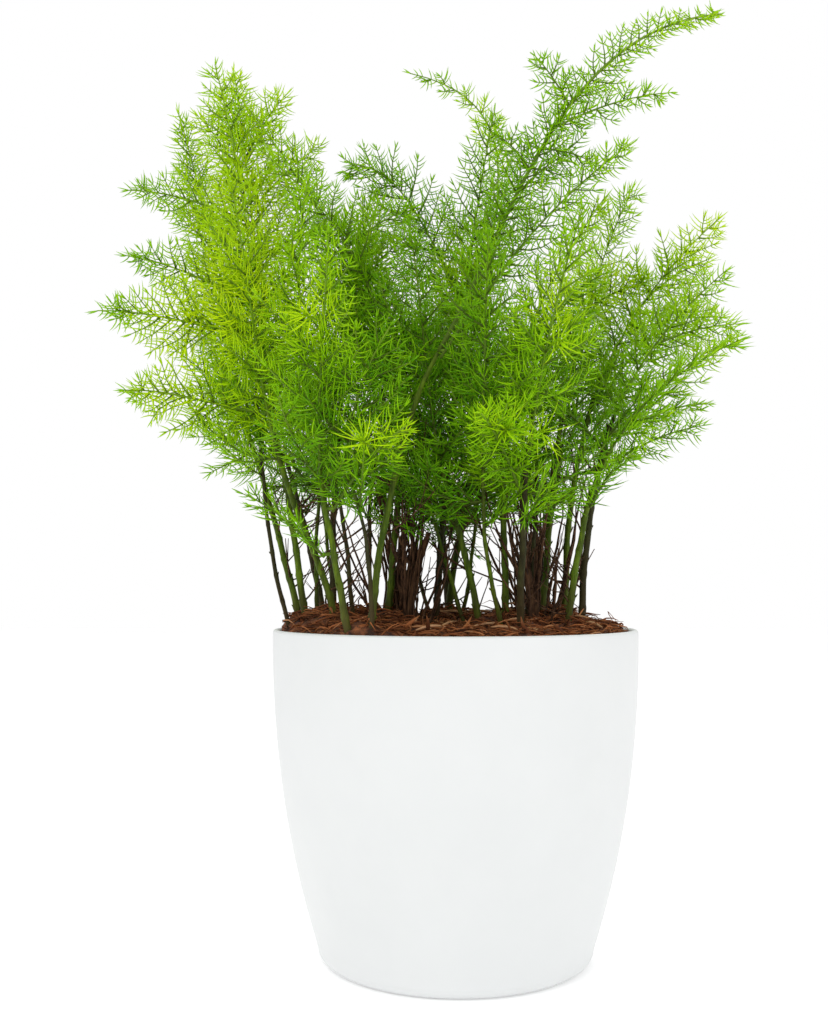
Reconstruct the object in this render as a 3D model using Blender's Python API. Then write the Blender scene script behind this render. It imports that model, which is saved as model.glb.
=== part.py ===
"""Potted asparagus fern: a bellied pot, its heaped coir soil, wiry stems, dry stubs and feathery fronds.

Metres, +Z up. The origin is the middle of the pot's flat base, and -Y is the plant's front.
Each frond is a thin lobed blade along the line that its feathery spray follows.
"""

import math
from typing import NamedTuple

import bmesh
import bpy
from mathutils import Matrix, Vector
from mathutils.bvhtree import BVHTree

MM = 0.001
GAP = 0.3 * MM  # left between any two pieces that would touch
SAME_POINT = GAP / 100  # points nearer to each other than this are merged

# Pot: a planter 130 mm wide and 115 mm tall, with bellied sides and a plain round rim.
POT_HEIGHT = 115 * MM
POT_RIM_RADIUS = 65 * MM
POT_FOOT_RADIUS = 47 * MM
POT_BELLY = 2.15  # above 1, the side swells out early on its way up
POT_WALL = 2.2 * MM
POT_FLOOR = 2.6 * MM
CORNER_RADIUS = 5 * MM  # between the base and the side
POT_SIDES = 48
SIDE_STEPS = 7
CORNER_STEPS = 3
RIM_STEPS = 4
SMOOTH_BELOW = math.radians(40)

# Soil: coir that fills the pot to just under the rim and is heaped round the clumps of stems.
SOIL_TOP = POT_HEIGHT - 2 * MM
SOIL_INSET = POT_WALL + 0.5 * MM
SOIL_SIDES = 32
SOIL_RINGS = 6
HEAP_FADE = 12 * MM  # the heaps die away over this distance from the rim
HEAP_FALL = 2  # how fast a heap falls away within its radius
HEAPS = (  # x, y, height and radius of each, in millimetres
    (-34, -6, 7.5, 26),
    (26, 2, 6.5, 28),
    (-2, 22, 4, 24),
    (-18, -30, 3, 18),
)

# Sockets: the holes in the soil that stems and stubs stand in.
SOCKET_DEPTH = 6 * MM
SOCKET_LENGTH = 16 * MM  # of the cutter, which reaches out past the surface
SOCKET_ROOM = 2 * GAP
SOCKET_SIDES = 8

# Stems.
STEM_RADIUS = 1.35 * MM
STEM_TOP = 0.55  # share of the foot's radius that is left at the top
STEM_POINTS = 7
STEM_LEAN = 0.5  # share of its whole lean that a stem already has where it leaves the soil
STUB_TOP = 0.5
STUB_POINTS = 4

# Fronds.
MIDRIB_HALF_THICK = 0.75 * MM
MIDRIB_TAPER = 0.6
LOBE_SPACING = 14 * MM
LOBE_SWEEP = math.radians(52)  # from the midrib
LOBE_LIFTS = (0.18, -0.10)  # of its length, up or down off the blade's plane, in turn
LOBE_MIDDLE = 0.55  # where along its length a lobe is broad
LOBE_NARROWING = 0.75
FIRST_LOBE = 0.45  # share of the half-width that a lobe at the root reaches
SHOULDER = 0.25  # where along the frond the lobes reach their full length
TIP_POWER = 0.55
FROND_DROOP = 0.35
SPRAY_RISE = 0.35
SPRAY_LIFT = 0.45  # how steeply a spray leaves the face of the frond that bears it

# Directions along a line are taken over these steps.
STEP = 0.02  # share of the line
RING_STEP = 0.25  # share of one piece of a frond, at its rings
LOBE_STEP = 0.5  # the same, where a lobe leaves it

# A frond that would touch its neighbours is swung about its root, a little further at each try.
MOST_TRIES = 60
FIRST_SWING = math.radians(2.2)
SWING_TURN = math.radians(137.5)
ROLL_STEP = 4


class Stem(NamedTuple):
    """A stem and the frond on its top. Millimetres from the middle of the pot's top, and degrees."""

    name: str
    foot: tuple  # x y where it leaves the soil
    joint: tuple  # x y z where the frond starts
    tip: tuple  # x y z
    half_width: float
    roll: float
    thickness: float = 1


class Spray(NamedTuple):
    """A small frond borne on the side of a stem, or on the face of that stem's frond."""

    name: str
    bearer: str
    share: float  # of the way up its stem, or 1 more than the share of the way along the frond
    tip: tuple
    half_width: float
    roll: float


class Stub(NamedTuple):
    """What is left of a dead stem."""

    name: str
    foot: tuple
    top: tuple
    radius: float


STEMS = (
    Stem("left_outer", (-55, 2), (-77, 6, 76), (-104, 12, 191), half_width=15, roll=20),
    Stem("left_tall", (-52, -8), (-66, -8, 85), (-81, -2, 202), half_width=17, roll=0),
    Stem("left_back", (-48, 22), (-68, 44, 70), (-86, 66, 154), half_width=22, roll=25),
    Stem("left_inner", (-44, -2), (-42, 4, 82), (-32, 18, 164), half_width=18, roll=-35),
    Stem("left_front", (-40, -18), (-60, -38, 64), (-72, -54, 144), half_width=20, roll=30),
    Stem("left_leaning", (-24, -6), (-22, -10, 86), (-71, -12, 183), half_width=17, roll=0),
    Stem("front_middle", (-33, -49), (-42, -58, 52), (-38, -76, 118), half_width=20, roll=-20),
    Stem("plume", (-28, -46), (-5, -42, 92), (89, -20, 212), half_width=20, roll=0, thickness=1.2),
    Stem("middle_top", (-7, 4), (2, 2, 102), (14, -8, 183), half_width=17, roll=15),
    Stem("middle_arching", (-3, 16), (12, 18, 116), (-15, 16, 208), half_width=17, roll=-10),
    Stem("middle_back", (-2, 40), (-8, 62, 78), (-15, 86, 156), half_width=22, roll=10),
    Stem("middle_leaning", (10, -14), (-6, -24, 64), (-14, -44, 130), half_width=18, roll=10),
    Stem("right_inner", (18, -12), (20, -18, 84), (50, -24, 146), half_width=17, roll=40),
    Stem("right_front", (22, -28), (24, -50, 60), (38, -72, 126), half_width=20, roll=25),
    Stem("right_top", (31, -2), (42, 10, 88), (67, 20, 164), half_width=17, roll=20),
    Stem("right_back", (32, 30), (44, 54, 72), (60, 82, 144), half_width=22, roll=-20),
    Stem("right_outer", (39, 6), (52, 6, 86), (95, 6, 148), half_width=16, roll=-15),
    Stem("far_right", (44, -8), (56, -12, 74), (96, -16, 126), half_width=15, roll=0),
    Stem("right_low", (38, -20), (52, -30, 60), (90, -44, 94), half_width=15, roll=10),
)

SPRAYS = (
    Spray("left_1", "left_tall", 1.48, (-118, -20, 155), half_width=11, roll=70),
    Spray("left_2", "left_tall", 1.24, (-120, -24, 131), half_width=12, roll=75),
    Spray("left_3", "left_front", 1.40, (-122, -62, 101), half_width=12, roll=75),
    Spray("left_4", "left_front", 1.10, (-110, -62, 76), half_width=11, roll=75),
    Spray("middle", "middle_arching", 0.97, (-42, 8, 171), half_width=13, roll=30),
    Spray("right_1", "right_outer", 0.96, (98, 28, 130), half_width=12, roll=40),
    Spray("right_2", "far_right", 0.93, (104, 2, 106), half_width=13, roll=60),
    Spray("right_3", "right_outer", 0.76, (96, 20, 84), half_width=12, roll=30),
    Spray("right_4", "far_right", 0.78, (88, -6, 72), half_width=11, roll=60),
    Spray("plume", "plume", 0.98, (58, -44, 160), half_width=14, roll=0),
    Spray("front_left", "front_middle", 0.78, (-14, -84, 62), half_width=13, roll=0),
    Spray("front_right", "right_front", 0.80, (8, -80, 66), half_width=13, roll=30),
    Spray("low_left", "front_middle", 0.55, (-66, -60, 44), half_width=11, roll=10),
    Spray("low_right", "right_low", 0.72, (56, -56, 57), half_width=11, roll=20),
    Spray("back_left", "left_back", 0.66, (-50, 84, 66), half_width=15, roll=0),
    Spray("back_right", "right_back", 0.66, (16, 84, 68), half_width=15, roll=0),
)

STUBS = (
    Stub("1", (-21, 2), (-17, 0, 40), radius=2.4),
    Stub("2", (-18, -10), (-9, -12, 34), radius=2.1),
    Stub("3", (28, -14), (24, -16, 38), radius=2.2),
    Stub("4", (32, 12), (30, 16, 34), radius=2.0),
)

LOOKS = {  # colour, then roughness
    "pot": ((0.86, 0.87, 0.87), 0.42),
    "soil": ((0.14, 0.045, 0.018), 0.95),
    "stem": ((0.13, 0.22, 0.035), 0.55),
    "stub": ((0.085, 0.038, 0.018), 0.9),
    "frond": ((0.20, 0.45, 0.02), 0.6),
}


def above_pot(point):
    """A table's point, in metres from the origin."""
    return Vector(point) * MM + Vector((0, 0, POT_HEIGHT))


def material(kind):
    """The material that all pieces of one kind share."""
    made = bpy.data.materials.get(kind)
    if made:
        return made
    colour, roughness = LOOKS[kind]
    made = bpy.data.materials.new(kind)
    made.use_nodes = True
    shader = made.node_tree.nodes["Principled BSDF"]
    shader.inputs["Base Color"].default_value = (*colour, 1)
    shader.inputs["Roughness"].default_value = roughness
    shader.inputs["Metallic"].default_value = 0
    made.diffuse_color = (*colour, 1)
    return made


def add_object(name, data, kind, parent):
    data.materials.append(material(kind))
    made = bpy.data.objects.new(name, data)
    bpy.context.scene.collection.objects.link(made)
    made.parent = parent
    return made


def mesh_from(bm, name):
    bmesh.ops.recalc_face_normals(bm, faces=bm.faces)
    mesh = bpy.data.meshes.new(name)
    bm.to_mesh(mesh)
    bm.free()
    return mesh


def turned(name, outline, sides):
    """A closed solid of revolution about Z, from an outline that runs from axis to axis."""
    bm = bmesh.new()
    points = [bm.verts.new((radius, 0, z)) for radius, z in outline]
    edges = [bm.edges.new(pair) for pair in zip(points, points[1:])]
    bmesh.ops.spin(
        bm, geom=points + edges, cent=(0, 0, 0), axis=(0, 0, 1),
        angle=math.tau, steps=sides, use_merge=True,
    )
    bmesh.ops.remove_doubles(bm, verts=bm.verts, dist=SAME_POINT)
    return mesh_from(bm, name)


def pot_radius(z):
    """Radius of the pot's outside at a height."""
    up = min(max(z / POT_HEIGHT, 0), 1)
    return POT_FOOT_RADIUS + (POT_RIM_RADIUS - POT_FOOT_RADIUS) * (1 - (1 - up) ** POT_BELLY)


def cup_outline(inset, bottom, top):
    """Half of the pot's upright section, moved in by an inset: flat bottom, rounded corner, bellied side."""
    corner_top = bottom + CORNER_RADIUS
    edge = pot_radius(corner_top) - inset
    points = [(0, bottom)]
    for i in range(CORNER_STEPS):
        turn = math.pi / 2 * i / CORNER_STEPS
        x = edge - CORNER_RADIUS * (1 - math.sin(turn))
        points.append((x, corner_top - CORNER_RADIUS * math.cos(turn)))
    for i in range(SIDE_STEPS + 1):
        z = corner_top + (top - corner_top) * i / SIDE_STEPS
        points.append((pot_radius(z) - inset, z))
    return points


def make_pot(parent):
    half_wall = POT_WALL / 2
    rim_base = POT_HEIGHT - half_wall
    rim_middle = pot_radius(rim_base) - half_wall
    rim = []
    for i in range(1, RIM_STEPS):
        turn = math.pi * i / RIM_STEPS
        rim.append((rim_middle + half_wall * math.cos(turn), rim_base + half_wall * math.sin(turn)))
    outside = cup_outline(0, 0, rim_base)
    inside = cup_outline(POT_WALL, POT_FLOOR, rim_base)
    pot = add_object("pot", turned("pot", outside + rim + inside[::-1], POT_SIDES), "pot", parent)
    pot.data.shade_smooth()
    pot.data.set_sharp_from_angle(angle=SMOOTH_BELOW)


def soil_height(x, y):
    """Height of the soil's surface over a point."""
    room = pot_radius(SOIL_TOP) - POT_WALL - math.hypot(x, y)
    fade = min(1, max(0, room / HEAP_FADE))
    heaped = 0
    for heap_x, heap_y, height, radius in HEAPS:
        away = math.hypot(x - heap_x * MM, y - heap_y * MM) / (radius * MM)
        heaped += height * MM * math.exp(-HEAP_FALL * away**2)
    return SOIL_TOP + heaped * fade


def make_soil(parent):
    outline = cup_outline(SOIL_INSET, POT_FLOOR + GAP, SOIL_TOP)
    reach = outline[-1][0]
    for i in range(1, SOIL_RINGS + 1):
        outline.append((reach * (1 - i / SOIL_RINGS), SOIL_TOP))
    mesh = turned("soil", outline, SOIL_SIDES)
    for vertex in mesh.vertices:
        on_top = vertex.co.z > SOIL_TOP - GAP and vertex.co.xy.length < reach - GAP
        if on_top:
            vertex.co.z = soil_height(vertex.co.x, vertex.co.y)
    return add_object("soil", mesh, "soil", parent)


def cut_sockets(soil, sockets):
    """Cuts the holes that stems stand in: each a foot, the next point up the stem and a radius."""
    bm = bmesh.new()
    for foot, towards, radius in sockets:
        tilt = (towards - foot).to_track_quat("Z", "Y").to_matrix().to_4x4()
        rise = Matrix.Translation((0, 0, SOCKET_LENGTH / 2 - GAP))
        bmesh.ops.create_cone(
            bm, cap_ends=True, segments=SOCKET_SIDES, radius1=radius, radius2=radius,
            depth=SOCKET_LENGTH, matrix=Matrix.Translation(foot) @ tilt @ rise,
        )
    cutter = bpy.data.objects.new("socket_cutter", mesh_from(bm, "socket_cutter"))
    bpy.context.scene.collection.objects.link(cutter)
    cutter.hide_render = True
    cutter.display_type = "WIRE"
    cut = soil.modifiers.new("sockets", "BOOLEAN")
    cut.operation = "DIFFERENCE"
    cut.solver = "EXACT"
    cut.object = cutter


def smooth_line(start, end, leave, arrive):
    """A Hermite curve, as a function of 0 to 1."""
    return lambda t: (
        start * (2 * t**3 - 3 * t**2 + 1)
        + leave * (t**3 - 2 * t**2 + t)
        + end * (3 * t**2 - 2 * t**3)
        + arrive * (t**3 - t**2)
    )


def stem_line(foot, joint, heading):
    """Up from the soil nearly upright, and into the joint along its frond's heading."""
    rise = joint - foot
    leave = Vector((rise.x * STEM_LEAN, rise.y * STEM_LEAN, rise.length))
    return smooth_line(foot, joint, leave, heading.normalized() * rise.length)


def frond_line(root, tip, heading):
    """A frond's midrib, which bows over towards its tip."""
    arm = tip - root
    arrive = arm + Vector((0, 0, -FROND_DROOP * arm.length))
    return smooth_line(root, tip, heading.normalized() * arm.length, arrive)


def make_rod(name, line, radius, top_share, points, kind, parent):
    """A round tapered rod along a line."""
    data = bpy.data.curves.new(name, "CURVE")
    data.dimensions = "3D"
    data.bevel_depth = radius
    data.bevel_resolution = 1
    data.use_fill_caps = True
    spline = data.splines.new("POLY")
    spline.points.add(points - 1)
    for i, point in enumerate(spline.points):
        t = i / (points - 1)
        point.co = (*line(t), 1)
        point.radius = 1 - (1 - top_share) * t
    return add_object(name, data, kind, parent)


def lobe_reach(t):
    """Share of the half-width that a lobe reaches at t along the frond."""
    grown = min(1, FIRST_LOBE + (1 - FIRST_LOBE) * t / SHOULDER)
    return grown * (1 - t) ** TIP_POWER


def blade_side(along, roll):
    """The direction in which a frond is wide: level across its midrib, then rolled about it."""
    level = Vector((1, 0, 0)) if abs(along.x) < math.sqrt(0.5) else Vector((0, 1, 0))
    across = (level - along * level.dot(along)).normalized()
    return Matrix.Rotation(math.radians(roll), 3, along) @ across


def frame_at(line, t, step, side):
    """The midrib's direction at t, and the blade's side direction square to it."""
    along = (line(min(1, t + step)) - line(max(0, t - step))).normalized()
    return along, (side - along * side.dot(along)).normalized()


def make_frond(name, line, half_width, roll, parent):
    """A lobed blade: a square midrib, whose side faces are drawn out into pointed lobes."""
    bm = bmesh.new()
    arm = line(1) - line(0)
    side = blade_side(arm.normalized(), roll)
    pieces = 1 + round(arm.length / LOBE_SPACING)
    rings = []
    for i in range(pieces + 1):
        t = i / pieces
        along, across = frame_at(line, t, RING_STEP / pieces, side)
        up = along.cross(across)
        size = MIDRIB_HALF_THICK * (1 - MIDRIB_TAPER * t)
        corners = ((-1, 1), (1, 1), (1, -1), (-1, -1))
        rings.append([bm.verts.new(line(t) + (across * a + up * b) * size) for a, b in corners])
    bm.faces.new(rings[0][::-1])
    bm.faces.new(rings[-1])
    for i, (low, high) in enumerate(zip(rings, rings[1:])):
        walls = [bm.faces.new((low[k], low[k - 3], high[k - 3], high[k])) for k in range(4)]
        if i == 0:
            continue  # the frond's bare stalk
        t = (i + 0.5) / pieces
        along, across = frame_at(line, t, LOBE_STEP / pieces, side)
        length = half_width * lobe_reach(t)
        for wall, way in ((walls[1], 1), (walls[3], -1)):
            draw_out_lobe(bm, wall, along, across * way, length, LOBE_LIFTS[(i + (way > 0)) % 2])
    return add_object(name, mesh_from(bm, name), "frond", parent)


def draw_out_lobe(bm, wall, along, across, length, lift):
    """Extrudes a side face twice: to the lobe's broad middle, then to its point."""
    up = along.cross(across)
    heading = across * math.sin(LOBE_SWEEP) + along * math.cos(LOBE_SWEEP) + up * lift
    root = wall.calc_center_median()
    face = bmesh.ops.extrude_discrete_faces(bm, faces=[wall])["faces"][0]
    for vertex in face.verts:
        vertex.co = root + heading * length * LOBE_MIDDLE + (vertex.co - root) * LOBE_NARROWING
    face = bmesh.ops.extrude_discrete_faces(bm, faces=[face])["faces"][0]
    bmesh.ops.pointmerge(bm, verts=face.verts, merge_co=root + heading * length)


def tree_of(made):
    """A search tree of an object's faces, as the viewport shows them."""
    bpy.context.view_layer.update()
    evaluated = made.evaluated_get(bpy.context.evaluated_depsgraph_get())
    mesh = evaluated.to_mesh()
    points = [made.matrix_world @ vertex.co for vertex in mesh.vertices]
    tree = BVHTree.FromPolygons(points, [tuple(face.vertices) for face in mesh.polygons])
    evaluated.to_mesh_clear()
    return tree


def swung_tip(root, tip, attempt):
    """The tip swung about the root, further out on a spiral at each attempt. Attempt 0 leaves it in place."""
    arm = tip - root
    axis = Matrix.Rotation(attempt * SWING_TURN, 3, arm) @ arm.orthogonal().normalized()
    return root + Matrix.Rotation(FIRST_SWING * math.sqrt(attempt), 3, axis) @ arm


def place_frond(name, root, heading, plan, trees, parent):
    """Makes a frond at the first swing of its tip that keeps it clear. Gives its line and facing."""
    for attempt in range(MOST_TRIES):
        line = frond_line(root, swung_tip(root, above_pot(plan.tip), attempt), heading)
        roll = plan.roll + attempt * ROLL_STEP
        made = make_frond(name, line, plan.half_width * MM, roll, parent)
        tree = tree_of(made)
        if not any(tree.overlap(other) for other in trees):
            trees.append(tree)
            arm = (line(1) - line(0)).normalized()
            return line, arm.cross(blade_side(arm, roll))
        data = made.data
        bpy.data.objects.remove(made)
        bpy.data.meshes.remove(data)
    raise RuntimeError("no clear place for " + name)


def planted(foot):
    """A foot point, a socket's depth under the soil's surface."""
    x, y = foot[0] * MM, foot[1] * MM
    return Vector((x, y, soil_height(x, y) - SOCKET_DEPTH))


def make_stems(parent, trees, sockets):
    """Makes every stem and gives its line by name."""
    lines = {}
    for stem in STEMS:
        foot = planted(stem.foot)
        line = stem_line(foot, above_pot(stem.joint), above_pot(stem.tip) - foot)
        radius = STEM_RADIUS * stem.thickness
        rod = make_rod("stem_" + stem.name, line, radius, STEM_TOP, STEM_POINTS, "stem", parent)
        trees.append(tree_of(rod))
        sockets.append((foot, line(1 / (STEM_POINTS - 1)), radius + SOCKET_ROOM))
        lines[stem.name] = line
    return lines


def make_stubs(parent, trees, sockets):
    for stub in STUBS:
        foot = planted(stub.foot)
        top = above_pot(stub.top)
        line = stem_line(foot, top, top - foot)
        radius = stub.radius * MM
        rod = make_rod("stub_" + stub.name, line, radius, STUB_TOP, STUB_POINTS, "stub", parent)
        trees.append(tree_of(rod))
        sockets.append((foot, line(1 / (STUB_POINTS - 1)), radius + SOCKET_ROOM))


def make_fronds(parent, trees, lines):
    """A frond goes on from its stem's end, past a gap. Gives each one's line and facing by name."""
    fronds = {}
    for stem in STEMS:
        line = lines[stem.name]
        heading = (line(1) - line(1 - STEP)).normalized()
        root = line(1) + heading * GAP * 2
        fronds[stem.name] = place_frond("frond_" + stem.name, root, heading, stem, trees, parent)
    return fronds


def spray_start(spray, lines, fronds):
    """Where a spray starts, and its first heading: off its stem's side, or off its frond's face."""
    tip = above_pot(spray.tip)
    own = MIDRIB_HALF_THICK * math.sqrt(2) + GAP * 2
    if spray.share > 1:
        line, facing = fronds[spray.bearer]
        node = line(spray.share - 1)
        if facing.dot(tip - node) < 0:
            facing = -facing
        heading = (tip - node).normalized() + facing * SPRAY_LIFT
        return node + facing * (MIDRIB_HALF_THICK * math.sqrt(2) + own), heading.normalized()
    line = lines[spray.bearer]
    node = line(spray.share)
    heading = ((tip - node).normalized() + Vector((0, 0, SPRAY_RISE))).normalized()
    along = (line(spray.share + STEP) - node).normalized()
    outward = (heading - along * heading.dot(along)).normalized()
    return node + outward * (STEM_RADIUS + own), heading


def make_sprays(parent, trees, lines, fronds):
    for spray in SPRAYS:
        root, heading = spray_start(spray, lines, fronds)
        place_frond("spray_" + spray.name, root, heading, spray, trees, parent)


def main():
    for old in list(bpy.data.objects):
        bpy.data.objects.remove(old)
    plant = bpy.data.objects.new("potted_asparagus_fern", None)
    bpy.context.scene.collection.objects.link(plant)
    make_pot(plant)
    soil = make_soil(plant)
    trees, sockets = [], []
    lines = make_stems(plant, trees, sockets)
    make_stubs(plant, trees, sockets)
    cut_sockets(soil, sockets)
    fronds = make_fronds(plant, trees, lines)
    make_sprays(plant, trees, lines, fronds)


main()
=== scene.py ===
import math

import bpy
import numpy as np
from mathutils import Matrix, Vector, noise


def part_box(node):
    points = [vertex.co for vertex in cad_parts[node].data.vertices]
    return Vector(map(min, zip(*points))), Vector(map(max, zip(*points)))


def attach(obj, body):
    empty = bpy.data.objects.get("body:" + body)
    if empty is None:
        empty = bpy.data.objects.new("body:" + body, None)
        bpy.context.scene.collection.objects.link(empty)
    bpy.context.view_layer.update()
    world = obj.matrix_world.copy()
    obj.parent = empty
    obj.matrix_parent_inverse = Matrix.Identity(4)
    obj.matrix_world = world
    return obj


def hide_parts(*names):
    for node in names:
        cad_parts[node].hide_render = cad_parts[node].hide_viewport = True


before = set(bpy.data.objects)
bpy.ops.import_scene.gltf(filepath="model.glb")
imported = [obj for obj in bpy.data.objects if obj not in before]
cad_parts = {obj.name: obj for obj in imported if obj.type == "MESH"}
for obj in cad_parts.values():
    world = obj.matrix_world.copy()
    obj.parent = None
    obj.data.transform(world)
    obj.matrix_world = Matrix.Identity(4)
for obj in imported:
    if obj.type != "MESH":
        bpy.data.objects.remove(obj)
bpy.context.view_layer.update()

mm = 0.001
up = np.array((0.0, 0.0, 1.0))
level = np.array((1.0, 1.0, 0.0))  # takes a direction's height away
seed = 21
random = np.random.default_rng(seed)
leafTurn = 2.4  # the angle round a stem from one shoot to the next
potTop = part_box("pot")[1].z
soilTop = potTop - 2 * mm
print("frame loaded:", len(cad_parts), "nodes")


# points and lines
tiny = 1e-12  # kept under every division


def unit(v):
    return v / np.maximum(np.linalg.norm(v, axis=-1, keepdims=True), tiny)


def square(v, axis):  # the part of v that is square to axis
    return v - axis * (v * axis).sum(-1, keepdims=True)


def turned(v, angle):  # turned about the upright axis
    c, s = math.cos(angle), math.sin(angle)
    return np.array((v[0] * c - v[1] * s, v[0] * s + v[1] * c, v[2]))


def leaning(v, out, angle):  # v, turned towards out
    return v * np.cos(angle) + out * np.sin(angle)


def levelOut():  # a level direction, any way
    turn = random.random() * math.tau
    return np.array((math.cos(turn), math.sin(turn), 0))


def between(ends, count=None):
    return random.uniform(*ends, count)


def about(middleAndStray, count=None):
    return random.normal(*middleAndStray, count)


def nodesNamed(*starts):
    return [node for node in sorted(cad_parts) if node.startswith(starts)]


def nodePoints(name):  # a CAD node's points, to a micron
    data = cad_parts[name].data
    points = np.empty(len(data.vertices) * 3)
    data.vertices.foreach_get("co", points)
    return np.unique(points.reshape(-1, 3).round(6), axis=0)


def powerLine(terms):  # a curve from the terms that polyfit gives, highest power first
    def at(s):
        s = np.asarray(s, float)[..., None]
        return sum(term * s ** (len(terms) - 1 - i) for i, term in enumerate(terms))
    return at


def bowLine(start, end, bow):  # from start to end, pushed aside by bow half-way
    def at(s):
        s = np.asarray(s, float)[..., None]
        return start + (end - start) * s + bow * 4 * s * (1 - s)
    return at


def steps(count):
    return np.linspace(0, 1, count)


def tangents(line, s):
    step = 0.01
    return unit(line(np.minimum(s + step, 1)) - line(np.maximum(s - step, 0)))


# meshes from arrays
mapMargin = 0.02  # the bake map's points keep this far inside its edges


def newParts():
    return {"points": [], "faces": [], "maps": [], "slots": [], "count": 0}


def addPart(parts, points, faces, maps, slot=0):
    parts["faces"].append(faces + parts["count"])
    parts["points"].append(points)
    parts["maps"].append(maps)
    parts["slots"].append(np.full(len(faces), slot, np.int32))
    parts["count"] += len(points)


def addObject(name, data):
    made = bpy.data.objects.new(name, data)
    bpy.context.scene.collection.objects.link(made)
    return made


def buildPiece(name, parts, materials, replaced=(), mapped=True):
    points = np.concatenate(parts["points"]).astype(np.float32)
    faces = np.concatenate(parts["faces"]).astype(np.int32)
    mesh = bpy.data.meshes.new(name)
    mesh.vertices.add(len(points))
    mesh.vertices.foreach_set("co", points.ravel())
    mesh.loops.add(faces.size)
    mesh.loops.foreach_set("vertex_index", faces.ravel())
    mesh.polygons.add(len(faces))
    mesh.polygons.foreach_set("loop_start", np.arange(0, faces.size, 3, dtype=np.int32))
    mesh.polygons.foreach_set("material_index", np.concatenate(parts["slots"]))
    mesh.update(calc_edges=True)
    if mapped:
        maps = np.concatenate(parts["maps"]).astype(np.float32)
        layer = mesh.uv_layers.new(name="OFBake")
        layer.uv.foreach_set("vector", maps[faces.ravel()].ravel())
    mesh.shade_smooth()
    for made in materials:
        mesh.materials.append(made)
    piece = addObject(name, mesh)
    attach(piece, "root")
    if replaced:
        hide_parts(*replaced)


def gridFaces(rows, sides):  # the triangles between rows of a closed ring each
    k, j = np.meshgrid(np.arange(rows - 1), np.arange(sides), indexing="ij")
    a = (k * sides + j).ravel()
    b = (k * sides + (j + 1) % sides).ravel()
    return np.concatenate([np.stack([a, b, b + sides], 1), np.stack([a, b + sides, a + sides], 1)])


def closedFaces(rows, sides):  # the same, with fans to two more points that close the first and last rows
    j = np.arange(sides)
    after = (j + 1) % sides
    last = (rows - 1) * sides
    low, high = rows * sides, rows * sides + 1
    return np.concatenate([gridFaces(rows, sides), np.stack([after, j, np.full(sides, low)], 1),
                           np.stack([last + j, last + after, np.full(sides, high)], 1)])


def addTube(parts, points, radii, sides=4, tint=0.5, slot=0):
    points = np.asarray(points, float)
    rows = len(points)
    ahead = unit(np.gradient(points, axis=0))
    ref = np.eye(3)[np.argmin(np.abs(ahead.mean(0)))]
    first = unit(square(ref, ahead))
    second = np.cross(ahead, first)
    turn = np.arange(sides) * math.tau / sides
    ring = first[:, None] * np.cos(turn)[None, :, None] + second[:, None] * np.sin(turn)[None, :, None]
    body = points[:, None] + ring * np.broadcast_to(radii, (rows,))[:, None, None]
    body = np.concatenate([body.reshape(-1, 3), points[:1], points[-1:]])
    along = np.linspace(mapMargin, 1 - mapMargin, rows)
    across = tint + mapMargin * (np.arange(sides) / sides - 0.5)
    maps = np.stack([np.tile(across, rows), np.repeat(along, sides)], 1)
    maps = np.concatenate([maps, [[tint, 0.0], [tint, 1.0]]])
    addPart(parts, body, closedFaces(rows, sides), maps, slot)


# a needle: rings at these shares of its length, as wide as these shares of its radius, and a point
needleRings = np.array((0.0, 0.34, 0.7))
needleGirth = np.array((0.8, 1.0, 0.75))
needleSides = 3
needlePoints = len(needleRings) * needleSides + 1


def needleFaces():
    point = needlePoints - 1
    faces = [(0, 2, 1)]
    for k in range(0, point - needleSides, needleSides):
        for j in range(needleSides):
            a, b = k + j, k + (j + 1) % needleSides
            faces += [(a, b, b + needleSides), (a, b + needleSides, a + needleSides)]
    last = point - needleSides
    faces += [(last + j, last + (j + 1) % needleSides, point) for j in range(needleSides)]
    return np.array(faces)


def addNeedles(parts, roots, ahead, bend, lengths, radius, tints):  # each is bowed towards its bend
    count = len(roots)
    lengths = lengths[:, None]
    side = unit(np.cross(ahead, bend) + 1e-9)  # never nothing
    rows = []
    for s, girth in zip(needleRings, needleGirth):
        middle = roots + (ahead * s + bend * s * s) * lengths
        other = np.cross(unit(ahead + 2 * s * bend), side)
        for turn in np.arange(needleSides) * math.tau / needleSides:
            rows.append(middle + (side * math.cos(turn) + other * math.sin(turn)) * radius * girth)
    rows.append(roots + (ahead + bend) * lengths)
    points = np.stack(rows, 1).reshape(-1, 3)
    faces = (np.arange(count)[:, None, None] * needlePoints + needleFaces()[None]).reshape(-1, 3)
    along = np.append(np.repeat(needleRings, needleSides), 1.0) * (1 - 2 * mapMargin) + mapMargin
    across = np.append(np.tile((-0.006, 0.0, 0.006), len(needleRings)), 0.0)
    maps = np.stack([tints[:, None] + across, np.broadcast_to(along, (count, needlePoints))], 2)
    addPart(parts, points, faces, maps.reshape(-1, 2))


# shader nodes

def feed(tree, inputs, values):  # gives each input a value or the socket that feeds it
    for key, value in values.items():
        if isinstance(value, bpy.types.NodeSocket):
            tree.links.new(value, inputs[key])
        else:
            inputs[key].default_value = value


def wire(tree, kind, values=None, **settings):
    node = tree.nodes.new("ShaderNode" + kind)
    for key, value in settings.items():
        setattr(node, key, value)
    feed(tree, node.inputs, values or {})
    return node


def mixed(tree, share, first, second):  # one colour over another, by the Mix node's colour sockets
    node = wire(tree, "Mix", {0: share, 6: first, 7: second}, data_type="RGBA")
    return node.outputs[2]


def ranged(tree, value, low, high, fromLow=0.0, fromHigh=1.0):
    node = wire(tree, "MapRange", {"Value": value, "From Min": fromLow, "From Max": fromHigh,
                                   "To Min": low, "To Max": high})
    return node.outputs["Result"]


blotch = {"detail": 5.0, "roughness": 0.65, "low": 0.38, "high": 0.62}


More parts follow.
